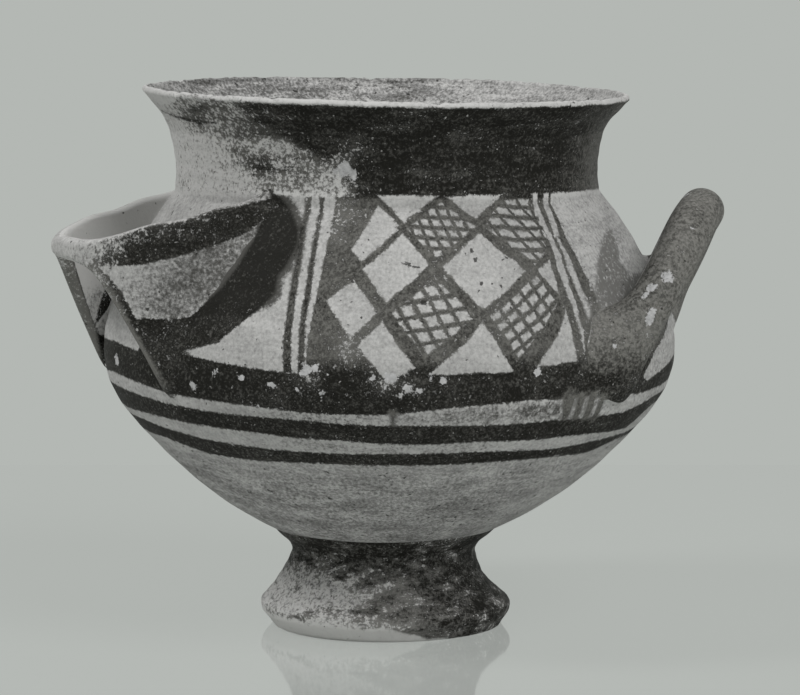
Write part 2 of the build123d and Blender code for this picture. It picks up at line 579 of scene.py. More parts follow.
PALE_CELLS: tuple[Pixels, ...] = (
    ((378, 195), (437, 196), (404, 223)), ((447, 197), (503, 195), (476, 219)),
    ((378, 205), (400, 227), (361, 261), (351, 250)), ((402, 234), (428, 264), (387, 303), (363, 269)),
    ((353, 280), (377, 312), (351, 338), (327, 300)), ((382, 321), (414, 368), (386, 383), (358, 346)),
    ((478, 232), (525, 272), (483, 309), (442, 267)), ((483, 322), (513, 371), (430, 375)),
    ((549, 260), (560, 296), (537, 270)), ((565, 308), (573, 341), (555, 342), (562, 322)),
    ((557, 336), (571, 334), (578, 362), (537, 367)), ((550, 193), (568, 241), (597, 295), (625, 295), (602, 188)),
    ((531, 193), (537, 193), (551, 238), (545, 239)),
    ((546, 232), (551, 232), (564, 267), (587, 349), (584, 352), (557, 267)),
    ((543, 193), (548, 193), (560, 236), (555, 238)),
    ((552, 228), (557, 228), (573, 265), (587, 293), (591, 316), (588, 318), (569, 272)),
)
# Each hatched cell: its outline, then two strokes that give one set's way, and two that give the other's
HATCHED_CELLS: tuple[tuple[Pixels, Pixels, Pixels], ...] = (
    (
        ((441, 202), (475, 226), (436, 258), (406, 229)),
        ((420, 227), (455, 229), (420, 237.5), (455, 239.5)),
        ((428, 215), (441, 247), (439, 215), (451, 243)),
    ),
    (
        ((435, 278), (474, 314), (425, 358), (393, 312)),
        ((405, 318), (456, 309), (408, 332), (459, 323)),
        ((412, 300), (437, 345), (425, 293), (450, 338)),
    ),
    (
        ((536, 276), (556, 303), (519, 358), (491, 316)),
        ((497, 322), (541, 283), (503, 332), (547, 293)),
        ((510, 300), (534, 335), (520, 291), (544, 326)),
    ),
    (
        ((485, 227), (503, 201), (528, 196), (546, 250), (535, 263)),
        ((490, 227), (540, 229), (490, 216), (540, 218)),
        ((494, 210), (530, 250), (506, 206), (540, 243)),
    ),
)
# Cracks and pits in the pale cells
PITS: tuple[Pixels, ...] = (
    ((398, 262.5), (409, 264), (421, 267.5), (409, 266.5)), ((404, 262), (411, 262.5), (408, 267)),
    ((470, 249), (473, 248), (474, 253), (471, 254)), ((474, 258), (477, 257), (478, 262), (475, 263)),
    ((464, 253), (466, 253), (466, 256)), ((480, 282), (484, 281), (484, 285), (481, 286)),
    ((499, 285), (502, 284), (502, 288)), ((505, 257), (508, 257), (507, 261)), ((477, 291), (480, 290), (480, 293)),
    ((420, 300), (427, 301), (426, 305), (421, 304)),
)
LEFT_STROKES: tuple[Pixels, ...] = (
    ((305, 193), (312, 193), (291, 374), (283, 373)), ((320, 193), (325, 193), (304, 376), (297, 375)),
)
PANEL_GROUND: Pixels = ((337, 187), (553, 187), (597, 292), (602, 378), (303, 378))
NECK_EDGE: Pixels = (
    (176, 190), (260, 191), (345, 193), (400, 194), (460, 195), (520, 194), (560, 192), (600, 188),
)
# The upper, the middle and the lower band: the top edge of each, then its bottom edge
BANDS: tuple[tuple[Pixels, Pixels], ...] = (
    (
        (
            (104, 337), (116, 341), (130, 347), (140, 352), (177, 352), (240, 365), (282, 372),
            (330, 376), (390, 378), (470, 375), (540, 368), (577, 362), (620, 356), (647, 381), (673, 355),
        ),
        (
            (106, 368), (113, 371), (165, 392), (233, 405), (316, 413), (391, 415), (466, 407),
            (534, 400), (600, 398), (640, 392), (662, 384),
        ),
    ),
    (
        (
            (115, 383), (165, 402), (256, 417), (353, 424), (466, 426), (560, 420), (600, 416),
            (624, 412), (640, 404), (655, 394),
        ),
        (
            (139, 411), (203, 426), (278, 435), (376, 444), (466, 443), (560, 437), (600, 433),
            (626, 428), (642, 414), (652, 405),
        ),
    ),
    (
        ((146, 420), (203, 439), (278, 450), (372, 454), (466, 452), (560, 447), (600, 440), (622, 433)),
        ((165, 437), (210, 454), (278, 462), (384, 466), (466, 464), (560, 456), (590, 451), (610, 442)),
    ),
)
# Dark paint round the band handle's near root; its upper right part also holds the painted shadow that the band casts
# on the wall.
BAND_ROOT_PAINT_AND_SHADOW: Pixels = (
    (271, 189), (280, 199), (291, 214), (297, 230), (295, 246), (284, 266), (276, 275), (273, 293),
    (257, 310), (237, 327), (217, 343), (177, 353), (150, 365), (136, 354), (150, 330), (194, 312),
    (219, 290), (236, 268), (252, 243), (265, 213), (262, 192),
)
BARE_BESIDE: Pixels = (
    (266, 204), (266, 213), (253, 243), (237, 268), (220, 290), (195, 313), (168, 318), (200, 270), (240, 225),
)
LOOP_ROOT_PAINT: Pixels = (
    (607, 232), (612, 230), (616, 243), (620, 262), (629, 275), (650, 273), (676, 292), (668, 318),
    (655, 350), (644, 374), (600, 386), (579, 368), (586, 353), (591, 320), (595, 290), (598, 262), (601, 244),
)
BARE_FIELD: Pixels = (
    (97, 266), (120, 266), (140, 265), (177, 257), (217, 245), (243, 235), (263, 222), (275, 200),
    (285, 230), (255, 275), (225, 305), (205, 314), (173, 319), (143, 318), (137, 320), (130, 307), (120, 290),
    (110, 278),
)
PIXEL_MM = 0.28
LOOSE_STROKES: tuple[tuple[Pixels, tuple[float, ...]], ...] = (
    (((393, 412), (393, 424)), (1.9, 1.2)), (((570, 397), (565, 417)), (4.6, 2.6)),
    (((582, 397), (576, 416)), (3.2, 2.6)), (((593, 397), (586, 417)), (3.2, 2.8)),
    (((603, 396), (595, 417)), (2.0, 2.4)),
    (((157, 110), (175, 117), (197, 122.5), (214, 123)), (0.5, 0.55, 0.45, 0.3)),
)
CHIPS: Chips = (
    ((337, 171), 1.2), ((344, 170), 2.2), ((352, 173), 1.5), ((193, 386), 1.1), ((215, 372), 0.6), ((240, 378), 0.5),
    ((232, 388), 0.4), ((273, 386), 1.2), ((257, 405), 0.8), ((306, 369), 1.5), ((315, 369), 0.7), ((328, 375), 0.5),
    ((298, 390), 0.5), ((321, 394), 0.7), ((345, 393), 0.5), ((373, 379), 1.0), ((391, 379), 1.6), ((385, 387), 0.6),
    ((408, 390), 1.0), ((400, 396), 0.5), ((419, 390), 0.5), ((431, 378), 0.6), ((442, 380), 0.9), ((117, 361), 1.5),
    ((538, 372), 0.9),
)
COIL_CHIPS: Chips = (
    ((669, 275), 1.6), ((650, 288), 1.3), ((645, 293), 0.8), ((651, 318), 1.7), ((656, 314), 0.9), ((691, 226), 0.6),
    ((615, 346), 0.6), ((684, 194), 0.7),
)
PIXEL_REACH = 2.5
# The right-hand edge of the neck's worn side, from the lip down
WORN_EDGE: Pixels = (
    (256, 106), (264, 120), (278, 128), (298, 138), (314, 149), (330, 156), (342, 165), (349, 178), (356, 191),
)
# Depths in mm well inside and well outside any paint, and how far behind the axis the front's patches go
FAR_IN, FAR_OUT, FRONT_REACH = 9.0, -9.0, 0.03
# How deep the stains between the bands go, in mm: the upper gap's, then the lower's
GAP_STAINS = (4.0, 2.5)
WORN_PLACES: tuple[tuple[tuple[float, float], float, float], ...] = (
    ((345, 172), 5.0, 0.25), ((350, 350), 6.0, 0.35), ((345, 215), 6.0, 0.22), ((310, 372), 8.0, 0.20),
    ((388, 380), 7.0, 0.30), ((437, 290), 6.0, 0.25), ((314, 197), 3.0, 0.3), ((338, 226), 5.0, 0.28),
)


@dataclass(frozen=True)
class Panel:
    """The hand-painted panel: pale cells left in a dark ground, some of them cross-hatched.

    Attributes:
        bench: Where its nodes go.
        spot: The unrolled place in mm, and a third part of one.
        line_width: How wide a line of the hatching is, in mm.
        overrun: How far those lines run on past their cell, in mm.
    """

    bench: Bench
    spot: Socket
    line_width: float = 1.3
    overrun: float = 2.0

    def ruled(self, slopes: Array, rise: float) -> Value:
        """A value that climbs evenly over the spots: their dot product with the slopes, and the rise."""
        line = (float(slopes[0]), float(slopes[1]), float(rise))
        return Value(self.bench, self.bench.vector("DOT_PRODUCT", self.spot, line).outputs["Value"])

    def cell(self, pixels: Pixels) -> Value:
        """How far a place lies inside a convex outline, in mm: the least of its distances to the sides."""
        corners, sides = laid(pixels), []
        for start, end in zip(corners, np.roll(corners, -1, axis=0)):
            normal = np.array([start[1] - end[1], end[0] - start[0]]) / np.linalg.norm(end - start)
            normal = normal if normal @ (corners.mean(0) - start) > 0 else -normal
            sides.append(self.ruled(normal, -normal @ start))
        return reduce(Value.least, sides)

    def hatching(self, pixels: Pixels) -> Value:
        """Depth inside a set of even strokes: half a line's width less the way to the nearest one.

        Args:
            pixels: Two points of one stroke and two of the next.

        Returns:
            The depth in mm, negative between the strokes.
        """
        strokes = laid(pixels)
        along = strokes[1] - strokes[0]
        normal = np.array([-along[1], along[0]]) / np.linalg.norm(along)
        gap = abs(float(normal @ (strokes[2] - strokes[0])))
        phase = self.ruled(normal / gap, float(-normal @ strokes[0]) / gap + 0.5).fraction()
        return self.line_width / 2 - (phase - 0.5).size() * gap

    def paint(self) -> Value:
        """Depth inside the panel's paint in mm, negative on bare slip."""
        pale, dark = [self.cell(pixels) for pixels in PALE_CELLS], [self.cell(pixels) for pixels in LEFT_STROKES]
        for outline, first, second in HATCHED_CELLS:
            pale.append(self.cell(outline))
            dark.append(self.hatching(first).most(self.hatching(second)).least(pale[-1] + self.overrun))
        ground = self.cell(PANEL_GROUND).least(0.0 - reduce(Value.most, pale))
        return reduce(Value.most, dark, ground)

    def pits(self) -> Value:
        """Depth inside the nearest crack or pit, in mm."""
        return reduce(Value.most, [self.cell(pixels) for pixels in PITS])


# The finishes


@dataclass(frozen=True)
class PaintedClay:
    """Pale slip under dark brushed paint that wears off in specks."""

    name: str
    slip: tuple = grey(0.52, 0.02)
    paint: tuple = grey(0.013, 0.12)
    thin_paint: tuple = grey(0.15, 0.06)
    chip: tuple = grey(0.52, 0.0)
    chip_shade: tuple = grey(0.33)
    # The stain colour also serves for the painted shadow beside the band handle.
    stain_and_shade: tuple = grey(0.07, 0.06)
    hole: tuple = grey(0.02, 0.08)
    panel: bool = False
    drawn_out: float = 0.05
    wheel_rows: float = 700.0
    brush_rows: float = 300.0
    unsteady: float = 1.4
    bump_strength: float = 0.6
    bump_reach: float = 0.00035
    gloss: float = 0.05

    def make(self, knocks: Knocks) -> bpy.types.Material:
        """Builds the material, which reads the fields that the pieces carry.

        Args:
            knocks: The chips: the place and the radius in mm of each.

        Returns:
            The material.
        """
        bench = Bench(bpy.data.materials.new(self.name))
        parts = bench.node("ShaderNodeSeparateXYZ", {0: bench.place})
        x, y, z = (Value(bench, parts.outputs[k]) for k in range(3))
        round_way = bench.math("ARCTAN2", x, y.size()) * UNROLL_RADIUS
        grit, fine = bench.noise(Grain.GRIT), bench.noise(Grain.FINE)
        wheel = bench.noise(Grain.WHEEL, bench.gather(round_way * self.drawn_out, z * self.wheel_rows, 0.0))
        brush = bench.noise(Grain.BRUSH, bench.gather(round_way * self.drawn_out, z * self.brush_rows, 5.0))
        gritty, grainy = grit - 0.5, fine - 0.5
        cloudy, broad = bench.noise(Grain.CLOUD) - 0.5, bench.noise(Grain.WIDE) - 0.5
        depth, soft, streak, dirt_and_shading = (bench.field(name) for name in ("painted", "soft", "streak", "soil_and_shading"))
        lines = (brush - 0.5) * streak
        pit = (bench.noise(Grain.PIT, bench.shifted(0.7)) + dirt_and_shading * 0.06).step(0.72, 0.79)
        if self.panel:
            sway = (bench.noise(Grain.SWAY) - 0.5) * self.unsteady
            lurch = (bench.noise(Grain.LURCH, bench.shifted(0.3)) - 0.5) * self.unsteady
            panel = Panel(bench, bench.gather(round_way + sway, z / MM + lurch, 1.0))
            outside = bench.field("outside")
            depth = depth.most(panel.paint().least(outside))
            pit = pit.most((panel.pits().least(outside) + grainy * 1.2).step(-0.1, 0.2))
        cover = (depth + gritty + grainy * 1.6).step(0.0 - soft, soft)
        wear = (bench.field("wear") + cloudy * 0.7 + lines * 3.0) * 0.42
        left = (grit * 0.35 + fine * 0.65).step(0.22 + wear, 0.40 + wear)
        fleck = bench.noise(Grain.FLECK, bench.shifted(0.9)).step(0.69, 0.75)
        shown = cover * left * (1.0 - fleck * 0.8)
        thin = bench.field("thin") + cloudy * 0.5 + lines * 2.5 + gritty + grainy * 2.2
        paint = bench.blend(thin.step(0.0, 1.2), self.paint, self.thin_paint)
        # The soil and stain fields darken the slip for real dirt and stains and also for painted shade; the soil field
        # also lightens it for painted light.
        soil_and_shading = dirt_and_shading + cloudy * 0.5 + (wheel - 0.5) * 0.3 + lines * 4.5 + gritty * 0.6 + broad * 0.3
        soil_and_shading = soil_and_shading + grainy * (1.2 + streak * 3.0)
        darker = (*(part * 0.4 for part in self.slip[:3]), 1.0)
        slip = bench.blend(soil_and_shading.step(-0.45, 0.85), self.slip, darker)
        stain_and_shade = bench.field("stain_and_shade") + lines * 3.2 + gritty * 1.2 + cloudy * 0.9 + grainy * (1.7 + streak * 2.6)
        slip = bench.blend(stain_and_shade.step(0.0, 1.1), slip, self.stain_and_shade)
        colour = bench.blend(pit * 0.85, bench.blend(shown, slip, paint), self.hole)
        if knocks:
            colour, shown = self._chipped(bench, colour, shown, fine, knocks)
        relief = fine * 0.6 + grit * 0.6 + wheel * 0.3 + shown * 0.2 - pit * 0.8
        sockets = {"Strength": self.bump_strength, "Distance": self.bump_reach, "Height": relief}
        sockets = {"Normal": bench.node("ShaderNodeBump", sockets).outputs[0], "Base Color": colour}
        sockets |= {"Roughness": 0.66 + gritty * 0.3 - shown * 0.08, "Specular IOR Level": self.gloss}
        shader = bench.node("ShaderNodeBsdfPrincipled", sockets)
        bench.node("ShaderNodeOutputMaterial", {"Surface": shader.outputs[0]})
        return bench.owner

    def _chipped(
        self, bench: Bench, colour: Socket, shown: Value, fine: Value, knocks: Knocks
    ) -> tuple[Socket, Value]:
        """Knocks the placed chips out of the paint: rough-edged balls about their places."""
        balls = []
        for place, radius in knocks:
            way = bench.vector("DISTANCE", bench.place, tuple(float(part) for part in place)).outputs["Value"]
            balls.append(radius - Value(bench, way) / MM)
        near, clod = reduce(Value.most, balls), bench.noise(Grain.CLOD)
        lost = (near + (clod - 0.5) * 6.0 + (fine - 0.5) * 2.0).step(-0.15, 0.3) * (near + 2.0).step(0.0, 0.5)
        body = bench.blend((fine + clod - 0.6).step(0.1, 0.7), self.chip_shade, self.chip)
        return bench.blend(lost, colour, body), shown * (1.0 - lost)


class Finish(Enum):
    """The pot's finishes, by the record's slots."""

    PAINTED_SLIP = PaintedClay("painted_slip", panel=True)
    DARK_COLLAR = PaintedClay("dark_collar", panel=True)
    DARK_FOOT = PaintedClay("dark_foot", slip=grey(0.60, 0.02), thin_paint=grey(0.20, 0.05))
    # The band handle's slip is lighter than the bowl's: painted light, so that its inner faces read as brightly lit.
    BANDED_HANDLE = PaintedClay("banded_handle", slip=grey(0.56, 0.02))
    DARK_HANDLE = PaintedClay("dark_handle", thin_paint=grey(0.21, 0.06))


def edge_height(round_way: Array, pixels: Pixels) -> Array:
    """The height, in mm, of a painted edge that runs round the pot.

    The edge's pixels are laid on the pot, and the height is read between them by straight lines;
    round the back it runs straight from the last to the first.

    Args:
        round_way: The unrolled way round, in mm.
        pixels: The edge, from left to right.

    Returns:
        The height at each way round.
    """
    spots = laid(pixels)
    return np.interp(round_way, spots[:, 0], spots[:, 1], period=math.tau * UNROLL_RADIUS)


def worn(points: Array) -> Array:
    """How worn the paint is: each worn place fades out like a bell from its middle."""
    total = np.zeros(points.shape[:-1])
    for pixel, radius, much in WORN_PLACES:
        away = np.linalg.norm(points - VIEW.seen_on(FORM, (pixel,))[0], axis=-1)
        total = np.maximum(total, much * bell(away, radius * MM))
    return total


def way_front(points: Array) -> Array:
    """The unrolled way round, the back half folded over onto the front."""
    return np.arctan2(points[..., 0], np.abs(points[..., 1])) * UNROLL_RADIUS


class PotPaint:
    """The paint of the pot's outside at places on it or near it; heights, ways and depths are in mm."""

    def __init__(self, places: Array) -> None:
        """Keeps the places, and how each one lies to the neck and to the handles' smeared roots."""
        self.places, self.fold, self.spots = places, way_front(places), unrolled(places)
        self.way, self.height = self.spots[..., 0], self.spots[..., 1]
        self.azimuth = np.arctan2(places[..., 1], places[..., 0])
        self.over_neck = self.height - edge_height(self.way, NECK_EDGE) + self.waver(0.35, 11, 33)
        self.neck = ease(self.over_neck, -1.8, -0.6)
        self.wall = 1.0 - self.neck
        self.above = ease(self.height, 96.0, 101.0) * self.wall
        self.high_root = ease(self.height, 93.0, 97.0)
        self.beside = self.patch(BARE_BESIDE)
        # Higher up, the outline is pushed out so that it also carries the band handle's painted shadow on the wall.
        self.band_root_and_shadow = self.patch(BAND_ROOT_PAINT_AND_SHADOW) + 0.6 * self.above * ease(-self.beside, 0.0, 2.0)
        self.loop_root = np.minimum(self.patch(LOOP_ROOT_PAINT), 9.0 - 8.5 * self.high_root)
        self.licks = np.full(self.way.shape, FAR_OUT)
        for pixels, widths in LOOSE_STROKES:
            self.licks = np.maximum(self.licks, self.on_front(stroke_depth(self.spots, laid(pixels), widths)))

    def waver(self, size: float, turns: int, seed: int) -> Array:
        """How far a hand-drawn edge strays as it goes round."""
        return wander(self.azimuth, 0.0, size, turns, seed)

    def on_front(self, depth: Array) -> Array:
        """A depth that counts on the front alone."""
        return np.where(self.places[..., 1] < FRONT_REACH, depth, FAR_OUT)

    def patch(self, pixels: Pixels) -> Array:
        """Depth inside an outline on the front."""
        return self.on_front(outline_depth(self.spots, laid(pixels)))

    def painted(self) -> Array:
        """Depth inside the paint: the neck up to the bare lip, the bands, the handles' roots and the licks."""
        tilt = 1.3 * np.cos(self.azimuth) + 0.85 * np.sin(self.azimuth)
        lip = FORM.lip_height / MM + 1.2 - (self.height + tilt)
        bare_lip = 1.3 + 3.0 * ease(-self.fold, 66.0, 84.0) * ease(-self.places[..., 1], 0.0, 0.01)
        depth = np.minimum(self.over_neck, lip - bare_lip + self.waver(0.25, 60, 35))
        for number, (top, bottom) in enumerate(BANDS):
            under_top = edge_height(self.way, top) + self.waver(0.3, 14, 40 + number) - self.height
            over_bottom = self.height - (edge_height(self.way, bottom) + self.waver(0.3, 14, 50 + number))
            depth = np.maximum(depth, np.minimum(under_top, over_bottom))
        return reduce(np.maximum, (self.loop_root, self.band_root_and_shadow, self.licks), depth)

    def gap_stain(self) -> Array:
        """Where a thin wash of the paint was brushed over the two gaps between the bands."""
        fold = self.fold
        brushed = 0.95 * ease(fold, -45.0, -20.0) + 0.25 * ease(fold, 0.0, 25.0) + 0.40 * ease(fold, 32.0, 37.0)
        upper, lower = (
            bell(self.height - 0.5 * (edge_height(self.way, over[1]) + edge_height(self.way, below[0])), deep)
            for over, below, deep in zip(BANDS[:-1], BANDS[1:], GAP_STAINS)
        )
        gap = upper * brushed * (1.0 - 0.7 * ease(fold, 44.5, 47.5))
        return gap + 0.8 * lower * ease(fold, -50.0, -20.0) * (1.0 - ease(fold, 30.0, 45.0))

    def worn_side(self) -> tuple[Array, Array, Array]:
        """The neck's left side: where the paint is rubbed, where it is palest, and where a patch is kept."""
        edge = laid(WORN_EDGE)[::-1]
        side = self.neck * (np.interp(self.height, edge[:, 1], edge[:, 0]) - self.fold)
        rubbed, pale = self.neck * ease(side, -5.0, 12.0), self.neck * ease(side, 30.0, 55.0)
        rubbed = rubbed * (1.0 - 0.9 * ease(self.licks, -0.3, 0.1)) * ease(-self.band_root_and_shadow, -0.5, 0.5)
        return rubbed, pale, self.neck * bell(self.fold + 41.0, 12.0) * bell(self.height - 137.0, 3.0)

    def thinness_with_sheen_and_shade(self, ground: Array) -> Array:
        """How thin the paint is, apart from the neck's left side; it also holds painted sheen and shadow."""
        by_panel = ease(self.panel, -15.0, -11.0) * self.wall * ease(self.height, 82.0, 88.0)
        # The last term is a painted sheen: the neck's paint turns lighter grey towards its right side.
        thin = 0.16 + 0.30 * by_panel + 0.18 * ground * by_panel + 0.5 * self.neck * ease(self.fold, 60.0, 100.0)
        root = 0.74 * ease(self.height, 76.0, 88.0) + 0.06 * self.high_root
        thin = np.maximum(thin, root * ease(self.loop_root, -1.0, 1.0))
        thin = np.maximum(thin, 0.75 * ease(self.licks, -0.6, 0.2) * ease(80.0 - self.height, 0.0, 4.0))
        # Painted shadow: the paint at the band handle's root is made darker, as in the shade of the band.
        return thin - 1.1 * ease(self.band_root_and_shadow, -2.0, 2.0) * self.above

    @cached_property
    def panel(self) -> Array:
        """Depth inside the panel's ground, on the front and, folded over, on the back."""
        return outline_depth(np.stack([self.fold, self.height], -1), laid(PANEL_GROUND))

    def fields(self) -> dict[str, Array]:
        """What the material reads at each place.

        Returns:
            How deep in the paint it lies and how soft that edge is, in mm; how worn and how thin the
            paint is; how soiled, stained and streaked the slip is, and where painted shade and light change its tone.
        """
        neck, fold, ground = self.neck, self.fold, ease(self.panel, -2.0, 1.5)
        rubbed, pale, kept = self.worn_side()
        top = ease(self.height, 143.0, 146.0)
        # Darker and more streaked towards the bottom of the belly, less so at the right.
        under = ease(62.0 - self.height, 0.0, 14.0) * (1.0 - 0.75 * ease(fold, 36.0, 64.0))
        # Painted shade: shade softens the edge of the band handle's painted shadow on the wall, and shaded darkens the
        # slip there and in the crease behind the band's near wall.
        smear, shade = bell(self.loop_root, 3.0) * self.high_root, bell(self.band_root_and_shadow, 5.0) * self.above
        shaded = 1.1 * ease(self.beside, -0.6, 0.4) + 1.9 * self.above * ease(self.band_root_and_shadow, -4.2, -0.2)
        wear = 0.03 + worn(self.places) + 0.02 * ground + rubbed * (0.42 - 0.08 * top - 0.14 * kept)
        return {
            "painted": self.painted(),
            "soft": 0.30 + 1.1 * smear + 0.5 * shade + 0.6 * bell(self.licks, 0.7),
            "wear": wear + 0.26 * pale + 0.16 * smear,
            "thin": np.maximum(self.thinness_with_sheen_and_shade(ground), rubbed * (0.66 - 0.2 * top) + 0.2 * pale) - 0.5 * kept,
            "soil_and_shading": 0.11 + 0.36 * under - 0.40 * neck,
            "stain_and_shade": -0.65 + self.gap_stain() + 0.66 * under + 0.85 * rubbed - 0.8 * pale + shaded,
            "streak": 0.08 + 0.42 * under + 0.25 * neck + 0.24 * ease(fold, 46.0, 62.0) * self.wall,
        }


def dress_pot(skin: Skin) -> None:
    """Works out the paint of the bowl and the collar, whose inside, past the top row, is bare and streaked."""
    inside = np.arange(skin.places.shape[0])[:, None] > skin.places[:, 0, 2].argmax()
    right = ease(skin.places[..., 0], -0.01, 0.045)
    bare = {"painted": -6.0, "soft": 0.3, "wear": 0.0, "thin": 0.5}
    bare |= {"soil_and_shading": 0.55 - 0.36 * right, "stain_and_shade": 0.15 - 0.45 * right, "streak": 0.85 - 0.25 * right}
    for name, values in PotPaint(skin.places).fields().items():
        skin.fields[name] = np.where(inside, bare[name], values)
    skin.fields["outside"] = np.where(inside, bare["painted"], FAR_IN)


def dress_foot(skin: Skin) -> None:
    """Works out the paint of the foot: dark to its edge, rubbed off along the standing ring."""
    height = skin.places[..., 2] / MM
    azimuth = np.arctan2(skin.places[..., 1], skin.places[..., 0])
    hollow = np.arange(height.shape[0])[:, None] > height[:, 0].argmin() + 3
    left, bared = np.cos(azimuth + 2.3), np.cos(azimuth + 2.6)
    flare = ease(24.0 - height, 0.0, 12.0)
    depth = height - 4.6 * ease(left, 0.30, 0.85) + wander(azimuth, 0.0, 0.5, 30, 61)
    paint = ease(depth, 0.0, 1.0)
    skin.fields = {
        "painted": np.where(hollow, -2.0, depth),
        "soft": 0.5,
        "wear": 0.06 + 0.62 * ease(bared, 0.3, 1.0) * flare,
        "thin": 0.26 + 0.56 * ease(left, 0.0, 0.9) * flare,
        "soil_and_shading": -0.45 + 0.25 * paint,
        "stain_and_shade": -0.3,
        "streak": 0.1 + 0.7 * paint,
    }


def wall_knocks() -> Knocks:
    """The chips of the bowl and the collar, laid on the wall."""
    return [(VIEW.seen_on(FORM, (pixel,))[0], radius) for pixel, radius in CHIPS]


def coil_knocks(places: Array) -> Knocks:
    """The chips of the loop handle: at each pixel, its nearest place to the eye."""
    flat = places.reshape(-1, 3)
    seen = VIEW.pixels(flat)
    knocks = []
    for pixel, radius in COIL_CHIPS:
        beside = np.linalg.norm(seen - pixel, axis=-1)
        knocks.append((flat[np.argmin(np.where(beside < PIXEL_REACH, flat[:, 1], np.inf))], radius))
    return knocks


def rooted(fields: dict[str, Array | float], places: Array, reach: Array | float) -> dict[str, Array]:
    """A handle's paint, giving way to the pot's own where it meets the wall.

    Args:
        fields: The handle's paint.
        places: The handle's places.
        reach: How far from the wall the handle's own paint has taken over, in mm.

    Returns:
        The paint, value by value: the share of the handle's own grows with the clearance.
    """
    own = ease(FORM.clearance(places) / MM, 0.15 * reach, reach)
    pot = PotPaint(places).fields() | {name: fields[name] for name in ("wear", "soil_and_shading", "stain_and_shade", "streak")}
    return {name: own * fields[name] + (1.0 - own) * values for name, values in pot.items()}


def dress_band(skin: Skin, turn: Array, lanes: Array, handle: "BandHandle") -> None:
    """Works out the paint of the band handle.

    The near wall's outer face is dark but for a bare field, whose outline is seen in the
    photograph; the far wall's is the same, mirrored in the band's own plane. The inner faces are
    bare but for a stripe along the lower edge and a low patch at the root.
    """
    places, (_, back) = skin.places, handle.ways()
    height = places[..., 2] / MM
    across = places @ back
    near = places - 2.0 * np.clip(across, 0.0, None)[..., None] * back
    bare = outline_depth(VIEW.pixels(near), np.array(BARE_FIELD)) * PIXEL_MM
    out = handle.centre + handle.depth * np.cos(turn)
    lip, edge = handle.heights(out, handle.half_width * np.sin(turn))
    below_lip = (lip - places[..., 2]) / MM
    outer = (lanes < 1.0)[None, :]
    clear = FORM.clearance(places) / MM
    tip, beyond = bell(turn, 0.6), bell(turn, 1.15)
    cut_edge = bell(lanes - 1.0, 0.08)[None, :]
    dark = np.minimum(0.0 - bare, below_lip - 0.4 - 1.6 * tip)
    stripe = 2.6 - (places[..., 2] - edge) / MM
    comma = np.minimum(98.0 - height, 3.2 - clear)
    low = ease(104.0 - height, 0.0, 8.0)
    rim = ease(7.0 - below_lip, 0.0, 4.0)
    fields = {
        "painted": np.where(outer, dark, np.maximum(stripe, comma)),
        "wear": np.where(outer, 0.12 + 0.50 * tip + 0.32 * rim * beyond, 0.2),
        "thin": 0.15 + 0.4 * ease(stripe, -2.0, 1.0) + 0.3 * tip + 0.9 * cut_edge,
        "soft": 0.3,
        # Painted shade darkens the outer faces towards the wall, as in the shade of the band; painted light lightens
        # the inner faces, which also turn darker low down.
        "soil_and_shading": np.where(outer, 0.44 * ease(30.0 - clear, 0.0, 28.0), -0.5),
        "stain_and_shade": np.where(outer, -0.70 + 1.35 * ease(31.0 - clear, 0.0, 30.0), -0.8 + 1.1 * low),
        "streak": 0.1,
    }
    root = 0.7 + 2.8 * ease(92.0 - height, 0.0, 6.0)
    skin.fields = rooted(fields, places, root)


def dress_loop(skin: Skin, turn: Array, lanes: Array) -> None:
    """Works out the paint of the loop handle: thin, dark and mottled, rubbed along a line of the near leg."""
    clear = FORM.clearance(skin.places) / MM
    line = bell(lanes - 1.85, 0.11)[None, :] * ease(-turn, 0.3, 0.7) * ease(clear, 5.0, 9.0)
    low = np.where(turn < 0.0, ease(87.0 - skin.places[..., 2] / MM, 0.0, 11.0), 0.0)
    fields = {"painted": 3.0, "soft": 0.3, "wear": 0.05 + 0.75 * line, "thin": 0.74 - 0.55 * low}
    skin.fields = rooted(fields | {"soil_and_shading": 0.0, "stain_and_shade": 0.0, "streak": 0.1}, skin.places, 1.6)


def settle(obj: bpy.types.Object, nodes: Sequence[str], slot: str, knocks: Knocks = ()) -> None:
    """Puts a finished piece in the place of its solids, on the body, with the record's finish.

    Args:
        obj: The piece.
        nodes: The solids that it stands for.
        slot: The record's material slot.
        knocks: The place and the radius in mm of each chip.
    """
    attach(obj, BODY)
    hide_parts(*nodes)
    obj.data.materials.append(Finish[slot.upper()].value.make(knocks))
    log.info("%s: %d faces, slot %s", obj.name, len(obj.data.polygons), slot)


# The pieces


@dataclass
class Thrown:
    """A piece thrown on the wheel: its profile is carried round the axis, a little unevenly.

    Attributes:
        form: The pot's form.
        columns: How many places go round.
        ring_size: How far the throwing rings stand out, in metres.
        ring_pitch: How far apart they are.
        slow: The size of the slow unevenness.
        nibble: The size of the fine nibbles along an edge.
        still: The radius within which the unevenness dies away.
    """

    form: PotForm = FORM
    columns: int = 490
    ring_size: float = 0.00007
    ring_pitch: float = 0.0071
    slow: float = 0.00016
    nibble: float = 0.0
    still: float = 0.02

    def uneven(self, azimuth: Array, height: Array) -> Array:
        """What is added to the radius."""
        raise NotImplementedError

    def profile(self) -> Array:
        """Radius and height in each row."""
        raise NotImplementedError

    def rings(self, height: Array, sway: Array) -> Array:
        """Throwing rings, which sway as they go round."""
        return self.ring_size * np.cos(math.tau * height / self.ring_pitch + sway)

    def turned(self) -> tuple[Array, Array]:
        """Carries the profile round from the back, set off by the axis's lean at each height.

        Returns:
            The places, and the azimuth of each.
        """
        profile = self.profile()
        azimuth = (math.pi / 2 + np.arange(self.columns) * math.tau / self.columns)[None, :]
        height = np.repeat(profile[:, 1:2], self.columns, axis=1)
        radius = profile[:, :1] + self.uneven(azimuth, height) * ease(profile[:, :1], 0.0, self.still)
        places = np.stack([radius * np.cos(azimuth) + self.form.lean(height), radius * np.sin(azimuth), height], -1)
        return places, np.broadcast_to(azimuth, height.shape)


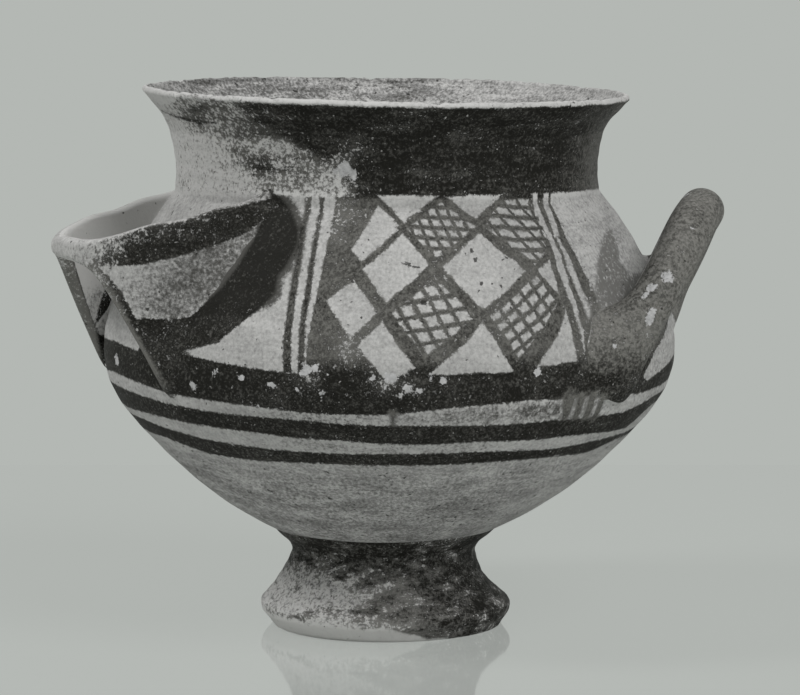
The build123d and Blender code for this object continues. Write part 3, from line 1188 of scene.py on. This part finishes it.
@dataclass
class BowlWall(Thrown):
    """The thrown bowl, from its floor to just past its mouth, where it is tucked inside the collar."""

    outer_rows: int = 150
    inner_rows: int = 46

    def uneven(self, azimuth: Array, height: Array) -> Array:
        """Throwing rings and a slow unevenness."""
        return self.rings(height, 1.3 * np.cos(azimuth)) + wander(azimuth, height, self.slow, 5, 4)

    def profile(self) -> Array:
        """Axis, seat, belly, mouth, the tucked edge, and back down the inside to the floor's middle."""
        form = self.form
        outer = form.bowl_side(0.0, 0.0, self.outer_rows)[1:]
        inner = form.bowl_side(form.wall, form.floor, self.inner_rows)[1:][::-1]
        up = np.linspace(0.2, 1.0, 4)[:, None]
        top = form.mouth_height + form.tuck * up
        over = np.hstack([form.mouth_radius - 0.0003 * up - form.sink * up**2, top])
        under = np.hstack([form.mouth_radius - form.wall + form.sink * up**2, top])[::-1]
        return np.vstack([outer, over, under, inner])

    def make(self) -> None:
        """Builds the wall and reports it."""
        places, _ = self.turned()
        skin = Skin(places)
        dress_pot(skin)
        settle(skin.build("bowl_wall"), ("bowl",), "painted_slip", wall_knocks())


@dataclass
class Collar(Thrown):
    """The flaring neck and its worn, wavering lip."""

    columns: int = 720
    ring_size: float = 0.00005
    ring_pitch: float = 0.0044
    slow: float = 0.0002
    nibble: float = 0.00022
    joint: tuple = (0.126, 0.131)
    outer_rows: int = 56
    lip_rows: int = 12
    inner_rows: int = 40
    bowl_top_rows: int = 250
    tilt_side: float = 0.0013
    tilt_front: float = 0.00085

    def uneven(self, azimuth: Array, height: Array) -> Array:
        """The bowl's slow unevenness at the joint, and fine nibbles along the lip."""
        lip = ease(height, self.form.lip_height - 0.002, self.form.lip_height + 0.001)
        own = ease(height, *self.joint)
        uneven = BowlWall().uneven(azimuth, height) * (1.0 - own) + self.rings(height, 0.9 * np.sin(azimuth)) * own
        return uneven + wander(azimuth, height, self.slow, 3, 8) + lip * wander(azimuth, height, self.nibble, 90, 6)

    def profile(self) -> Array:
        """The tucked foot, the outer face, the round lip, and the inner face back down."""
        form = self.form
        down = np.linspace(1.0, 0.2, 4)[:, None]
        foot = form.mouth_height - form.tuck * down
        bowl = form.bowl_side(0.0, 0.0, form.side_rows)[-self.bowl_top_rows :]
        own = np.interp(foot[:, 0], bowl[:, 1], bowl[:, 0])[:, None]
        within = np.hstack([own - form.sink * down**2, foot])
        outer = form.collar_side(0.0, 0.0, 0.0, self.outer_rows)
        turn = np.linspace(0.0, math.pi, self.lip_rows + 2)[1:-1]
        half = form.lip_thickness / 2
        lip = np.stack([form.lip_radius - half + half * np.cos(turn), form.lip_height + half * np.sin(turn)], -1)
        inner = form.collar_side(form.wall, form.neck_wall, form.lip_thickness, self.inner_rows)[::-1]
        hidden = np.hstack([own - form.wall + form.sink * down**2, foot])[::-1]
        return np.vstack([within, outer, lip, inner, hidden])

    def make(self) -> None:
        """Builds the collar, tilts and wears its lip, and reports it."""
        form = self.form
        places, azimuth = self.turned()
        share = ease(places[..., 2], 0.139, form.lip_height)
        tilt = -self.tilt_side * np.cos(azimuth) - self.tilt_front * np.sin(azimuth)
        lip = ease(places[..., 2], form.lip_height - 0.003, form.lip_height + 0.001)
        places[..., 2] += share * (tilt + wander(azimuth, 0.0, 0.00025, 7, 2))
        places[..., 2] += lip * (wander(azimuth, 0.0, 0.00014, 140, 11) - self.chips(azimuth))
        skin = Skin(places, Closing.RING)
        dress_pot(skin)
        settle(skin.build("collar"), ("neck_collar",), "dark_collar", wall_knocks())

    @staticmethod
    def chips(azimuth: Array) -> Array:
        """Small losses along the lip: bell-shaped dips of random place, width and depth."""
        rng = np.random.default_rng(21)
        total = np.zeros(azimuth.shape)
        for _ in range(26):
            place, wide, deep = rng.uniform(0, math.tau), rng.uniform(0.008, 0.035), rng.uniform(0.0001, 0.0005)
            away = np.angle(np.exp(1j * (azimuth - place)))
            total += deep * bell(away, wide)
        return total


@dataclass
class PedestalFoot(Thrown):
    """The splayed foot, hollow underneath, its top drawn out over the bowl's seat."""

    columns: int = 480
    ring_size: float = 0.00006
    ring_pitch: float = 0.0033
    slow: float = 0.00022
    nibble: float = 0.00016
    stem: tuple = (0.0265, 0.0220)
    edge: tuple = (0.0356, 0.0074)
    spread_shares: tuple = ((0.08, 0.22), (0.42, 0.62))
    edge_bottom: float = 0.0040
    bulge: float = 0.0004
    base_radius: float = 0.0328
    ring_width: float = 0.0058
    wall: float = 0.0065

    def uneven(self, azimuth: Array, height: Array) -> Array:
        """Marks of the fingers that drew the foot out, and nibbles along its edge."""
        edge = ease(height, 0.010, 0.006)
        uneven = self.rings(height, np.sin(azimuth)) + wander(azimuth, height, self.slow, 4, 15)
        return uneven + edge * wander(azimuth, height, self.nibble, 60, 16)

    def profile(self) -> Array:
        """The seat, the stem, the flare, the bevelled edge, the ring, and up the hollow."""
        form = self.form
        tucked = (form.seat_radius + 0.0016, form.seat_height + 0.0018)
        seat = (form.seat_radius - 0.0006, form.seat_height - 0.0009)
        spread = form.between(self.stem, self.edge, self.spread_shares)
        flare = smooth_path([tucked, seat, self.stem, *spread, self.edge], 60)
        turn = np.linspace(0.0, 1.0, 8)[1:]
        drop = self.edge[1] - self.edge_bottom
        edge = np.stack([self.edge[0] + self.bulge * np.sin(math.pi * turn), self.edge[1] - drop * turn], -1)
        base = np.linspace((self.edge[0], self.edge_bottom), (self.base_radius, 0.0002), 7)[1:]
        ring = np.linspace((self.base_radius - 0.0004, 0.0), (self.base_radius - self.ring_width, 0.0), 6)
        inside = self.stem[0] - self.wall
        hollow = smooth_path([ring[-1], (0.0238, 0.0065), (inside + 0.0006, 0.016), (inside, 0.0232)], 16)[1:]
        hidden = np.array([(inside + 0.001, 0.0262), (form.seat_radius - 0.004, 0.0292)])
        return np.vstack([flare, edge, base, ring, hollow, hidden])

    def make(self) -> None:
        """Builds the foot and reports it."""
        places, _ = self.turned()
        places[..., 2] = np.maximum(places[..., 2], 0.0)
        skin = Skin(places, Closing.RING)
        dress_foot(skin)
        settle(skin.build("foot"), ("pedestal_foot",), "dark_foot")


@dataclass
class Handle:
    """A handle whose lines all run from wall to wall, and spread where they meet it.

    Attributes:
        form: The pot's form.
        stations: How many places lie along each line.
        tries: How many places the search for the wall tries to either side.
        press: How far the root is pressed into the wall, in metres.
        press_reach: The clearance over which that dies away.
        into_wall: How deep the two last rows of each end go into the wall.
    """

    form: PotForm = FORM
    stations: int = 150
    tries: int = 500
    press: float = 0.0004
    press_reach: float = 0.0008
    into_wall: tuple = (0.0021, 0.0009)

    def line(self, turn: Array, lane: Array) -> tuple[Array, Array]:
        """Place on the handle's face, and the way out of its section, at a turn along a lane."""
        raise NotImplementedError

    def reach(self) -> float:
        """The turn by which every lane is inside the pot's wall, to either side."""
        raise NotImplementedError

    def spread(self, way: Array, side: Array) -> Array:
        """How far from the wall the root starts to spread, for ways out of the section."""
        raise NotImplementedError

    def carry(self, lanes: Array) -> tuple[Array, Array]:
        """Runs each lane from wall to wall and rounds its roots.

        Each lane's two ends are where its clearance from the pot first falls to nought, going out
        from its middle. Stations lie closer near the ends, by a cosine. Within the spread r of the
        wall, at a clearance d, a place moves out along the wall by r - sqrt(r^2 - (r - d)^2), a
        quarter round, and back to its clearance. Two more rows at each end go into the wall.

        Args:
            lanes: The lanes round the section.

        Returns:
            The places, rows along and columns round, and the turn of each.
        """
        steps = np.linspace(0.0, self.reach(), self.tries)
        ends = []
        for sign in (-1.0, 1.0):
            tries, _ = self.line((sign * steps)[:, None], lanes[None, :])
            gap = self.form.clearance(tries)
            hit = np.where((gap <= 0).any(0), np.maximum((gap <= 0).argmax(0), 1), len(steps) - 1)
            lane = np.arange(lanes.size)
            before, after = gap[hit - 1, lane], gap[hit, lane]
            share = np.clip(before / np.maximum(before - after, 1e-12), 0.0, 1.0)
            ends.append(sign * (steps[hit - 1] + share * (steps[1] - steps[0])))
        share = (0.5 - 0.5 * np.cos(np.linspace(0.0, math.pi, self.stations)))[:, None]
        turn = ends[0][None, :] * (1.0 - share) + ends[1][None, :] * share
        places, way = self.line(turn, np.broadcast_to(lanes[None, :], turn.shape))
        gap = np.maximum(self.form.clearance(places), 0.0)
        normal = self.form.outward(places)
        along = way - (way * normal).sum(-1, keepdims=True) * normal
        wide = self.spread(way, np.sign(turn))
        left = np.clip(wide - gap, 0.0, None)
        push = wide - np.sqrt(np.maximum(wide**2 - left**2, 0.0))
        places = places + along * push[..., None]
        normal = self.form.outward(places)
        rest = gap - self.press * np.exp(-gap / self.press_reach)
        places = places + normal * (rest - self.form.clearance(places))[..., None]
        first = [places[:1] - deep * normal[:1] for deep in self.into_wall]
        last = [places[-1:] - deep * normal[-1:] for deep in self.into_wall[::-1]]
        turn = np.vstack([turn[:1], turn[:1], turn, turn[-1:], turn[-1:]])
        return np.vstack([*first, places, *last]), turn


@dataclass
class BandHandle(Handle):
    """The broad strip bent round in a loop, its lip and its lower edge cut slantwise."""

    azimuth: float = math.radians(199.6)
    centre: float = 0.0569
    depth: float = 0.0415
    half_width: float = 0.0375
    thickness: float = 0.0031
    tip_swell: float = 0.0012
    bluntness: float = 0.93
    draw_in: float = 0.05
    lip_height: float = 0.1250
    lip_drop: float = 0.27
    lip_cant: float = 0.04
    tip_out: float = 0.0927
    tip_height: float = 0.1095
    root_height: float = 0.0740
    edge_slope: float = math.tan(math.radians(66.0))
    round_share: float = 0.06
    face_lanes: int = 64
    round_lanes: int = 6

    def ways(self) -> tuple[Array, Array]:
        """Out from the pot's axis along the band, and across it towards the back."""
        cosine, sine = math.cos(self.azimuth), math.sin(self.azimuth)
        return np.array([cosine, sine, 0.0]), np.array([sine, -cosine, 0.0])

    def reach(self) -> float:
        """Well past the half turn at which the strip is inside the wall."""
        return 2.3

    def heights(self, out: Array, across: Array) -> tuple[Array, Array]:
        """Lip and lower edge: the lip falls outwards and to the back, the lower edge climbs at one
        slope and levels off under the tip; both waver a little as a cut by eye does."""
        lip = self.lip_height - self.lip_drop * (out - self.centre) - self.lip_cant * across
        lip = lip + 0.00045 * np.cos(across / 0.0041 + 0.6) + 0.0003 * np.cos(out / 0.0026 + 1.0)
        climb = (self.tip_out - out) * self.edge_slope
        edge = self.tip_height - 0.5 * (climb + np.sqrt(climb**2 + 0.0050**2)) + 0.0003 * np.cos(out / 0.003)
        over = edge - self.root_height
        return lip, self.root_height + 0.5 * (over + np.sqrt(over**2 + 0.002**2))

    def line(self, turn: Array, lane: Array) -> tuple[Array, Array]:
        """The middle of the wall is an oval in plan; a lane sits off it by the strip's rounded section."""
        half = self.thickness / 2 + self.tip_swell * bell(turn, 0.55)
        deep, wide = self.depth - half, self.half_width - half
        blunt = np.sign(np.cos(turn)) * np.abs(np.cos(turn)) ** self.bluntness
        out, across = self.centre + deep * blunt, wide * np.sin(turn)
        facing = np.stack([blunt / deep, np.sin(turn) / wide], -1)
        facing = facing / np.linalg.norm(facing, axis=-1, keepdims=True)
        lip, edge = self.heights(out, across)
        # A lane of 0..1 goes down the outer face and 1..2 up the inner; the round ends lie at 0, 1 and 2
        near = np.minimum(np.minimum(lane, 2.0 - lane), np.abs(lane - 1.0))
        bend = np.clip(near / self.round_share, 0.0, 1.0) * math.pi / 2
        outer = np.where(lane < 1.0, 1.0, -1.0)
        low = np.where(np.abs(lane - 1.0) < 0.5, -1.0, 1.0)
        down = np.where(lane < 1.0, lane, 2.0 - lane) - self.round_share
        straight = np.clip(down / (1.0 - 2.0 * self.round_share), 0.0, 1.0)
        offset = outer * half * np.sin(bend)
        height = (lip - half) + (edge - lip + 2.0 * half) * straight + low * half * np.cos(bend)
        offset = offset - self.draw_in * (lip - height)
        out, across = out + facing[..., 0] * offset, across + facing[..., 1] * offset
        away, back = self.ways()
        place = out[..., None] * away + across[..., None] * back + height[..., None] * UP
        way = (facing[..., :1] * away + facing[..., 1:] * back) * (outer * np.sin(bend))[..., None]
        way = way + (low * np.cos(bend))[..., None] * UP
        return place, way

    def spread(self, way: Array, side: Array) -> Array:
        """A thumbed-on root: wider outside the strip than inside it."""
        outside = np.clip((way @ self.ways()[1]) * side, 0.0, 1.0)
        below, above = np.clip(-way[..., 2], 0.0, 1.0), np.clip(way[..., 2], 0.0, 1.0)
        return 0.0016 + 0.0042 * outside + 0.0012 * below - 0.0011 * above

    def make(self) -> None:
        """Builds the band and reports it."""
        face = np.linspace(self.round_share, 1.0 - self.round_share, self.face_lanes)
        bend = np.linspace(0.0, self.round_share, self.round_lanes, endpoint=False)[1:]
        half_way = np.concatenate([[0.003], bend, face, 1.0 - bend[::-1], [0.997]])
        lanes = np.concatenate([half_way, 2.0 - half_way[::-1]])
        places, turn = self.carry(lanes)
        skin = Skin(places, Closing.LADDER)
        dress_band(skin, turn, lanes, self)
        settle(skin.build("band_handle_wall"), ("band_handle",), "banded_handle")


@dataclass
class LoopHandle(Handle):
    """The rolled coil bent to a U and canted up from the shoulder, its near root smeared wide."""

    azimuth: float = math.radians(-18.3)
    cant: float = math.radians(63.5)
    half_span: float = 0.0256
    rise: float = 0.0381
    base_radius: float = 0.0746
    base_height: float = 0.0865
    skew: float = 0.35
    thickness: float = 0.0127
    breadth: float = 0.0121
    lane_count: int = 96
    leg_bend: float = 0.016

    def reach(self) -> float:
        """A quarter turn and then straight on, into the wall."""
        return math.pi / 2 + 1.3

    def axes(self) -> tuple[Array, Array, Array, Array, Array]:
        """The loop's middle, the way out from the pot, its rise, its way across, and its plane's normal."""
        cosine, sine = math.cos(self.azimuth), math.sin(self.azimuth)
        away, across = np.array([cosine, sine, 0.0]), np.array([-sine, cosine, self.skew])
        rise = away * math.cos(self.cant) + UP * math.sin(self.cant)
        normal = np.cross(rise, across)
        return away * self.base_radius + UP * self.base_height, away, rise, across, normal / np.linalg.norm(normal)

    def line(self, turn: Array, lane: Array) -> tuple[Array, Array]:
        """Half an ellipse, then legs that run on and bend in by the square of their length; the
        section is oval, in the loop's plane and across it."""
        base, away, rise, across, normal = self.axes()
        inner = np.clip(turn, -math.pi / 2, math.pi / 2)
        past = np.abs(turn) - np.abs(inner)
        up = self.rise * (np.cos(inner) - past)
        side = self.half_span * np.sin(inner)
        middle = base + up[..., None] * rise + side[..., None] * across
        middle = middle - ((self.rise * past) ** 2 / self.leg_bend)[..., None] * away
        climb = -self.rise * np.where(past > 0, np.sign(turn), np.sin(inner))
        run = self.half_span * np.cos(inner)
        heading = climb[..., None] * rise + run[..., None] * across
        heading = heading / np.linalg.norm(heading, axis=-1, keepdims=True)
        flank = np.cross(normal, heading)
        fat = 1.0 + 0.03 * np.cos(3.0 * turn + 0.7) + 0.02 * np.cos(7.0 * turn + lane)
        way = (self.breadth / 2 * fat * np.cos(lane))[..., None] * flank
        way = way + (self.thickness / 2 * fat * np.sin(lane))[..., None] * normal
        return middle + way, way / np.linalg.norm(way, axis=-1, keepdims=True)

    def spread(self, way: Array, side: Array) -> Array:
        """Wide towards the front of the near root, and up and down at the far one."""
        front = np.clip(-(way @ self.axes()[3]), 0.0, 1.0)
        low, high = np.clip(-way[..., 2], 0.0, 1.0), np.clip(way[..., 2], 0.0, 1.0)
        far_root = 0.0035 + 0.0080 * np.abs(way[..., 2]) + 0.0030 * low
        return np.where(side < 0, 0.0040 + 0.0095 * front + 0.0060 * high, far_root)

    def make(self) -> None:
        """Builds the loop and reports it."""
        lanes = (np.arange(self.lane_count) + 0.5) * math.tau / self.lane_count
        places, turn = self.carry(lanes)
        skin = Skin(places, Closing.LADDER)
        dress_loop(skin, turn, lanes)
        settle(skin.build("loop_handle_coil"), ("loop_handle",), "dark_handle", coil_knocks(places))


# The studio


@dataclass(frozen=True)
class Studio:
    """A pale table with its far edge in view, a pale backdrop, and one soft light from the upper left."""

    pale: tuple = (0.456, 0.479, 0.456)
    table_edge: float = 0.305
    table_reach: float = 3.0
    table_depth: float = 0.02
    evenness: float = 0.82
    mirror: float = 0.28
    polish: float = 0.06
    slab: tuple = (0.52, 0.54, 0.52)
    fill: float = 0.18
    key_place: tuple = (-1.10, -0.30, 1.38)
    aim: tuple = (0.0, 0.0, 0.08)
    key_size: float = 0.5
    key_watts: float = 15.0
    card_place: tuple = (0.85, -1.05, 1.35)
    card_size: float = 1.1
    card_watts: float = 21.5

    def table(self) -> bpy.types.Object:
        """A flat slab that the pot stands on."""
        far, side, low = self.table_edge, self.table_reach, -self.table_depth
        corners = [(x, y, z) for z in (low, 0.0) for x, y in ((-side, -side), (side, -side), (side, far), (-side, far))]
        faces = [(3, 2, 1, 0), (4, 5, 6, 7), (0, 1, 5, 4), (1, 2, 6, 5), (2, 3, 7, 6), (3, 0, 4, 7)]
        mesh = bpy.data.meshes.new("table")
        mesh.from_pydata(corners, [], faces)
        obj = bpy.data.objects.new("table", mesh)
        bpy.context.scene.collection.objects.link(obj)
        obj.data.materials.append(self.table_top())
        return obj

    def table_top(self) -> bpy.types.Material:
        """Pale polished slab: seen directly it is mostly its own even tone, with a faint mirror."""
        bench = Bench(bpy.data.materials.new("table_top"))
        matt = bench.node("ShaderNodeBsdfDiffuse", {"Color": (*self.slab, 1.0)})
        even = bench.node("ShaderNodeEmission", {"Color": (*self.pale, 1.0), "Strength": 1.0})
        seen = Value(bench, bench.node("ShaderNodeLightPath").outputs["Is Camera Ray"]) * self.evenness
        tone = bench.node("ShaderNodeMixShader", {0: seen, 1: matt.outputs[0], 2: even.outputs[0]})
        gloss = bench.node("ShaderNodeBsdfGlossy", {"Color": WHITE, "Roughness": self.polish})
        top = bench.node("ShaderNodeMixShader", {0: self.mirror, 1: tone.outputs[0], 2: gloss.outputs[0]})
        bench.node("ShaderNodeOutputMaterial", {"Surface": top.outputs[0]})
        return bench.owner

    def lamp(self, name: str, place: Sequence[float], size: float, watts: float) -> None:
        """A round soft lamp that faces the pot's middle."""
        data = bpy.data.lights.new(name, "AREA")
        data.shape, data.size, data.energy = "DISK", size, watts
        lamp = bpy.data.objects.new(name, data)
        lamp.location = place
        aim = Vector(self.aim) - lamp.location
        lamp.rotation_euler = aim.to_track_quat("-Z", "Y").to_euler()
        bpy.context.scene.collection.objects.link(lamp)

    def light(self) -> None:
        """The key lamp, a weak one from the right, and a world that is pale to the eye and dimmer to the pot."""
        bench = Bench(bpy.data.worlds.new("backdrop"))
        bpy.context.scene.world = bench.owner
        path = bench.node("ShaderNodeLightPath").outputs
        seen = bench.math("MAXIMUM", path["Is Camera Ray"], path["Is Glossy Ray"])
        plain = bench.node("ShaderNodeBackground", {"Color": (*self.pale, 1.0)})
        dim = bench.node("ShaderNodeBackground", {"Color": WHITE, "Strength": self.fill})
        mix = bench.node("ShaderNodeMixShader", {0: seen, 1: dim.outputs[0], 2: plain.outputs[0]})
        bench.node("ShaderNodeOutputWorld", {0: mix.outputs[0]})
        self.lamp("window", self.key_place, self.key_size, self.key_watts)
        self.lamp("card", self.card_place, self.card_size, self.card_watts)


def main() -> None:
    """Builds the studio and the pot's pieces."""
    logging.basicConfig(level=logging.INFO, format="%(name)s: %(message)s")
    bpy.context.scene.view_settings.view_transform = "Standard"
    VIEW.make()
    studio = Studio()
    studio.table()
    studio.light()
    for piece in (BowlWall(), Collar(), PedestalFoot(), BandHandle(), LoopHandle()):
        piece.make()


if __name__ == "__main__":
    main()
